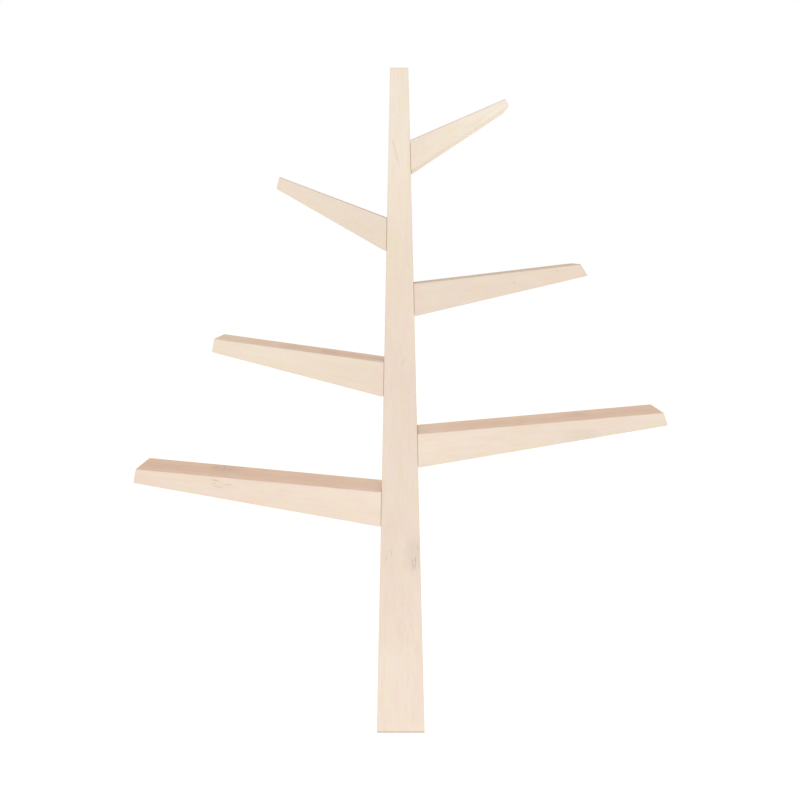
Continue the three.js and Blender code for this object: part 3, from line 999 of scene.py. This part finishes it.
def soft_marks(tree, place, marks):
    """Greatest of some soft round marks: each has its strength within its core and fades to 0 at its rim,
    one half size from its middle."""
    total = None
    for middle, size, turn, strength in marks:
        inside = node(tree, "Mapping", {"vector_type": "TEXTURE"}, Vector=place, Location=middle,
                      Rotation=(0, math.radians(turn), 0), Scale=size).outputs[0]
        away = node(tree, "VectorMath", {"operation": "LENGTH"}, Vector=inside).outputs["Value"]
        mark = between(tree, away, 1.0, MARK_CORE, 0.0, strength)
        total = mark if total is None else work_out(tree, "MAXIMUM", total, mark)
    return total


def all_marks(tree, place, marks, top_marks, on_top):
    """Greatest of the marks on the fronts and those on the tops, which show on the tops alone."""
    tops = work_out(tree, "MULTIPLY", soft_marks(tree, place, on_tops(top_marks)), on_top)
    return work_out(tree, "MAXIMUM", soft_marks(tree, place, marks), tops)


def washed(tree, grain, peach_patches):
    """The wash alone: paler where its coat is thick, lighter and darker with painted light and shade, and in
    soft patches, and turned to peach and to cream.
    """
    patches = between(tree, layer(tree, grain, "patches"), 0.35, 0.68, -PATCH_SWING, PATCH_SWING)
    paler = work_out(tree, "ADD", patches, attribute(tree, "coat"))
    colour = blend(tree, paler, WASH_TONE, PALE_TONE)
    peach = between(tree, peach_patches, 0.36, 0.61, -PEACH_SWING, PEACH_SWING)
    peach = work_out(tree, "ADD", attribute(tree, "peach"), peach)
    cream = between(tree, layer(tree, grain, "cream"), 0.38, 0.62, -CREAM_SWING, CREAM_SWING)
    cream = work_out(tree, "ADD", attribute(tree, "cream"), cream)
    return cast(tree, colour, peach, cream)


def with_grain(tree, colour, bent, streaks, fibres):
    """The wood under the wash: rings, which are the sine of a drawn out noise, streaks and fibres."""
    figure = layer(tree, bent, "figure")
    rings = work_out(tree, "SINE", work_out(tree, "MULTIPLY", figure, FIGURE_TURN))
    colour = blend(tree, between(tree, rings, -0.2, 1.0, 0.0, RING_SHARE), colour, BARE_TONE)
    colour = blend(tree, between(tree, streaks, 0.45, 0.75, 0.0, STREAK_SHARE), colour, BARE_TONE)
    return blend(tree, between(tree, fibres, 0.45, 0.8, 0.0, FIBRE_SHARE), colour, BARE_TONE)


def with_wear_and_shade(tree, colour, grain, here, peach_patches, on_top):
    """Scuffs along the edges, then painted shade: a warm one on the tops, and a dark one on tops, undersides
    and arrises, with dark marks on the tops.
    """
    scuffs = between(tree, layer(tree, grain, "scuffs"), 0.4, 0.65, 0.0, SCUFF_SHARE)
    near_edge = between(tree, attribute(tree, "edge"), SCUFF_START, SCUFF_FULL)
    colour = blend(tree, work_out(tree, "MULTIPLY", near_edge, scuffs), colour, BARE_TONE)
    # Warm painted shade on the tops
    uneven = between(tree, peach_patches, 0.36, 0.64, 0.75, 1.25)
    rubbed = work_out(tree, "MULTIPLY", attribute(tree, "rubbed"), uneven)
    colour = blend(tree, rubbed, colour, WARM_SHADE_TONE)
    # Dark painted shade on tops, undersides and arrises, with the tops' dark marks added
    shades = soft_marks(tree, here, on_tops(TOP_SHADES))
    dark = work_out(tree, "MULTIPLY_ADD", shades, on_top, attribute(tree, "dark"))
    return blend(tree, dark, colour, DARK_TONE)


def with_shades(tree, colour, here, streaks):
    """The grey shades on the fronts, broken up by the streaks."""
    broken = between(tree, streaks, 0.2, 0.6, 0.35, 0.6)
    shades = work_out(tree, "MULTIPLY", soft_marks(tree, here, on_fronts(SHADES, MARK_DEPTH)), broken)
    return blend(tree, shades, colour, GREY_TONE)


def fleck_share(tree, grain, bent, here, fibres, on_top):
    """Dark flecks: pores where they crowd, and fine lines broken up by the fibres."""
    crowds = between(tree, layer(tree, grain, "crowds"), 0.6, 0.72, 0.0, CROWD_SHARE)
    flecked = all_marks(tree, here, on_fronts(FLECKED_PLACES, FLECKED_DEPTH), TOP_FLECKED_PLACES, on_top)
    pores = between(tree, layer(tree, bent, "pores"), 0.6, 0.69)
    pores = work_out(tree, "MULTIPLY", pores, work_out(tree, "MAXIMUM", crowds, flecked))
    moved = wandering(tree, here, LINE_WANDER_CELLS, LINE_WANDER)
    lines = all_marks(tree, moved, on_fronts(FINE_LINES, MARK_DEPTH), TOP_FINE_LINES, on_top)
    lines = work_out(tree, "MULTIPLY", lines, between(tree, fibres, 0.3, 0.7, 0.7, 1.0))
    return work_out(tree, "MAXIMUM", pores, lines)


def whitewashed_wood():
    """Pale wood under a thin white wash: soft patches, a drawn out figure, fibres, dark pores that gather in
    places, scuffed edges, and painted light and shade on the trunk, tops, undersides and arrises."""
    material, tree, shader = new_material("whitewashed_wood", 0.58, specular=0.25)
    here = node(tree, "TexCoord").outputs["Object"]
    grain = attribute(tree, "grain", "Vector")
    bent = wandering(tree, grain, GRAIN_WANDER_CELLS, GRAIN_WANDER)
    peach_patches = layer(tree, grain, "peach")
    streaks = layer(tree, bent, "streaks")
    fibres = layer(tree, bent, "fibres")
    # The tops are found by their warm painted shade
    on_top = between(tree, attribute(tree, "rubbed"), 0.02, 0.12)
    flecks = fleck_share(tree, grain, bent, here, fibres, on_top)

    colour = washed(tree, grain, peach_patches)
    colour = with_grain(tree, colour, bent, streaks, fibres)
    colour = with_wear_and_shade(tree, colour, grain, here, peach_patches, on_top)
    colour = with_shades(tree, colour, here, streaks)
    colour = blend(tree, work_out(tree, "MULTIPLY", flecks, FLECK_SHARE), colour, FLECK_TONE)

    relief = work_out(tree, "MULTIPLY_ADD", streaks, 0.6, work_out(tree, "MULTIPLY", fibres, 0.4))
    relief = work_out(tree, "SUBTRACT", relief, flecks)
    set_surface(tree, shader, colour, relief, 0.00012, 0.6)
    tree.links.new(between(tree, streaks, 0.3, 0.75, 0.5, 0.66), shader.inputs["Roughness"])
    return material


# The other materials, each with the two tones that its pattern runs between

SAWN_TONES = ((0.66, 0.46, 0.27, 1), (0.78, 0.6, 0.4, 1))
SAWN_FIBRE_TONE = (0.5, 0.33, 0.18, 1)
ZINC_TONES = ((0.6, 0.61, 0.62, 1), (0.74, 0.75, 0.74, 1))
FELT_TONES = ((0.74, 0.68, 0.62, 1), (0.93, 0.88, 0.82, 1))


def sawn_wood():
    """Bare softwood inside: growth layers that lie across Y, and rough fibres drawn out along Z."""
    material, tree, shader = new_material("sawn_wood", 0.8, specular=0.25)
    place = node(tree, "TexCoord").outputs["Object"]
    growth = noise(tree, place, (24, 180, 30), 3.0, 0.55)
    fibres = noise(tree, place, (300, 900, 60), 2.0, 0.5)
    colour = blend(tree, between(tree, growth, 0.4, 0.65), *SAWN_TONES)
    colour = blend(tree, between(tree, fibres, 0.4, 0.8, 0.0, 0.35), colour, SAWN_FIBRE_TONE)
    set_surface(tree, shader, colour, fibres, 0.0002, 0.8)
    return material


def zinc_steel():
    """Zinc plated steel: a satin grey with faint cloudy shade and fine scratches."""
    material, tree, shader = new_material("zinc_steel", 0.36, metallic=1.0)
    place = node(tree, "TexCoord").outputs["Object"]
    clouds = noise(tree, place, (420, 420, 420), 3.0, 0.6)
    scratches = noise(tree, place, (2400, 2400, 300), 2.0, 0.5)
    colour = blend(tree, between(tree, clouds, 0.35, 0.7), *ZINC_TONES)
    set_surface(tree, shader, colour, scratches, 0.00003, 0.5)
    tree.links.new(between(tree, scratches, 0.3, 0.7, 0.28, 0.46), shader.inputs["Roughness"])
    return material


def pale_felt():
    """Pressed felt: short fibres that lie two ways, and a soft uneven colour."""
    material, tree, shader = new_material("pale_felt", 0.95, specular=0.1)
    place = node(tree, "TexCoord").outputs["Object"]
    lengthwise = noise(tree, place, (300, 2600, 1400), 2.0, 0.6)
    crosswise = noise(tree, place, (2600, 300, 900), 2.0, 0.6, shift=(4.0, 1.0, 2.0))
    fibres = work_out(tree, "MAXIMUM", lengthwise, crosswise)
    colour = blend(tree, between(tree, fibres, 0.4, 0.75), *FELT_TONES)
    set_surface(tree, shader, colour, fibres, 0.0003, 0.8)
    return material


# Pieces

BRANCH_BOARDS = {
    "front": "front_board", "back": "back_board", "first": "top_board", "second": "bottom_board",
    "end": "tip_cap",
}
TRUNK_BOARDS = {
    "front": "trunk_front_board", "back": "trunk_back_board", "first": "trunk_left_board",
    "second": "trunk_right_board", "end": "trunk_top_cap",
}
BOLTS = [f"{branch}_{place}_bolt" for branch in BRANCHES for place in ("front", "back")]
INNER_PIECES = [
    "trunk_foot_board", "trunk_upper_core", "trunk_lower_core",
    *(f"{branch}_root_block" for branch in BRANCHES),
]

# How far one board's grain is shifted from the board before it
BOARD_SHIFT = np.array([1.37, 0.61, 0.23])


def board_cutters(name):
    """The shapes cut out of a board: the bolts' bores, or what the keyhole plate needs."""
    if name in ("trunk_left_board", "trunk_right_board"):
        return [bolt_cutter(bolt) for bolt in BOLTS]
    if name == "trunk_back_board":
        return list(plate_cutters())
    return []


def make_boards(form, boards, material, first_number):
    """The boards of one box form, each with a grain of its own."""
    for number, (side, name) in enumerate(boards.items(), first_number):
        piece = board(name, form, side)
        cutters = board_cutters(name)
        if cutters:
            cut(piece, cutters)
        mark_grain(piece, form, side, BOARD_SHIFT * number)
        smooth(piece)
        finish_piece(piece, material, "whitewashed_wood", name)


def make_branch(branch, count, trunk, material):
    """The boards of one branch. Its base lies on the side of the trunk that faces it."""
    boards = {side: f"{branch}_{board_name}" for side, board_name in BRANCH_BOARDS.items()}
    joint = "second" if branch.endswith("right") else "first"
    form = read_form(boards, -trunk[joint][0])
    way, reach = form["end"]
    form["end"] = (way, reach - TIP_TRIM)
    make_boards(form, boards, material, 1 + len(TRUNK_BOARDS) * count)


def dress(names, material):
    """Gives a material to pieces that keep the shape of their solids."""
    for name in names:
        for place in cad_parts[name].material_slots:
            place.material = material


def make_shelf():
    wash = whitewashed_wood()
    trunk = read_form(TRUNK_BOARDS, (0, 0, -1))
    make_boards(trunk, TRUNK_BOARDS, wash, 1)
    for count, branch in enumerate(BRANCHES, 1):
        make_branch(branch, count, trunk, wash)
    zinc = zinc_steel()
    for bolt in BOLTS:
        make_bolt(bolt, zinc)
    make_plate(zinc)
    for screw in PLATE_SCREWS:
        make_screw(screw, zinc)
    dress(INNER_PIECES, sawn_wood())
    dress(["foot_pad"], pale_felt())


# Studio

# Floor, which lies just under the foot
FLOOR_SPAN = 40.0
FLOOR_DROP = 0.0001
FLOOR_TONE = (0.9, 0.9, 0.9, 1)
FLOOR_GLOW = (0.39, 0.44, 0.42, 1)

# Sky: its light near the horizon and overhead, and the heights, as sines, between which they mix
HORIZON_LIGHT = (0.8, 0.9, 1.14, 1)
OVERHEAD_LIGHT = (0.77, 0.676, 0.59, 1)
FADE_HEIGHTS = (0.25, 0.45)

# Lamp in front
LAMP_PLACE = (0.0, -5.5, 1.1)
LAMP_AIM = (0.0, 0.0, 0.8)
LAMP_WIDTH = 4.0
LAMP_HEIGHT = 2.0
LAMP_POWER = 20.0


def make_floor():
    """A pale floor that glows a little, as in a bright studio. The shelf's shadow stays on it."""
    half = FLOOR_SPAN / 2
    corners = np.array([(-half, -half, 0), (half, -half, 0), (half, half, 0), (-half, half, 0)])
    mesh = bpy.data.meshes.new("floor")
    mesh.from_pydata(corners.tolist(), [], [(0, 1, 2, 3)])
    floor = bpy.data.objects.new("floor", mesh)
    floor.location.z = -FLOOR_DROP
    bpy.context.collection.objects.link(floor)
    material, _, shader = new_material("pale_floor", 0.9, specular=0.0)
    shader.inputs["Base Color"].default_value = FLOOR_TONE
    shader.inputs["Emission Color"].default_value = FLOOR_GLOW
    shader.inputs["Emission Strength"].default_value = 1.0
    floor.data.materials.append(material)


def make_world():
    """A soft light that changes from the horizon to overhead. Whatever is seen of it, straight or in a
    reflection, is white."""
    world = bpy.data.worlds.new("studio")
    bpy.context.scene.world = world
    world.use_nodes = True
    tree = world.node_tree
    light = tree.nodes["Background"]
    way = node(tree, "SeparateXYZ", Vector=node(tree, "TexCoord").outputs["Generated"])
    height = between(tree, way.outputs["Z"], *FADE_HEIGHTS)
    tree.links.new(blend(tree, height, HORIZON_LIGHT, OVERHEAD_LIGHT), light.inputs["Color"])
    white = node(tree, "Background", Color=(1, 1, 1, 1), Strength=1.0)
    paths = node(tree, "LightPath")
    seen = work_out(tree, "MAXIMUM", paths.outputs["Is Camera Ray"], paths.outputs["Is Glossy Ray"])
    seen = work_out(tree, "MAXIMUM", seen, paths.outputs["Is Transmission Ray"])
    chosen = node(tree, "MixShader")
    for place, value in enumerate((seen, light.outputs[0], white.outputs[0])):
        feed(tree, chosen.inputs[place], value)
    tree.links.new(chosen.outputs[0], tree.nodes["World Output"].inputs["Surface"])


def make_lamp():
    """A rectangular lamp that faces its aim. A lamp shines along its own -Z, so it is tilted from straight
    down to the slope of its way, and then turned about Z to its way."""
    light = bpy.data.lights.new("front_lamp", "AREA")
    light.shape = "RECTANGLE"
    light.size = LAMP_WIDTH
    light.size_y = LAMP_HEIGHT
    light.energy = LAMP_POWER
    lamp = bpy.data.objects.new("front_lamp", light)
    way = np.array(LAMP_AIM) - np.array(LAMP_PLACE)
    lamp.location = LAMP_PLACE
    lamp.rotation_euler = (math.atan2(math.hypot(way[0], way[1]), -way[2]), 0, math.atan2(-way[0], way[1]))
    bpy.context.collection.objects.link(lamp)


def make_studio():
    make_floor()
    make_world()
    make_lamp()
    bpy.context.scene.view_settings.view_transform = "Standard"


place_camera()
make_shelf()
make_studio()
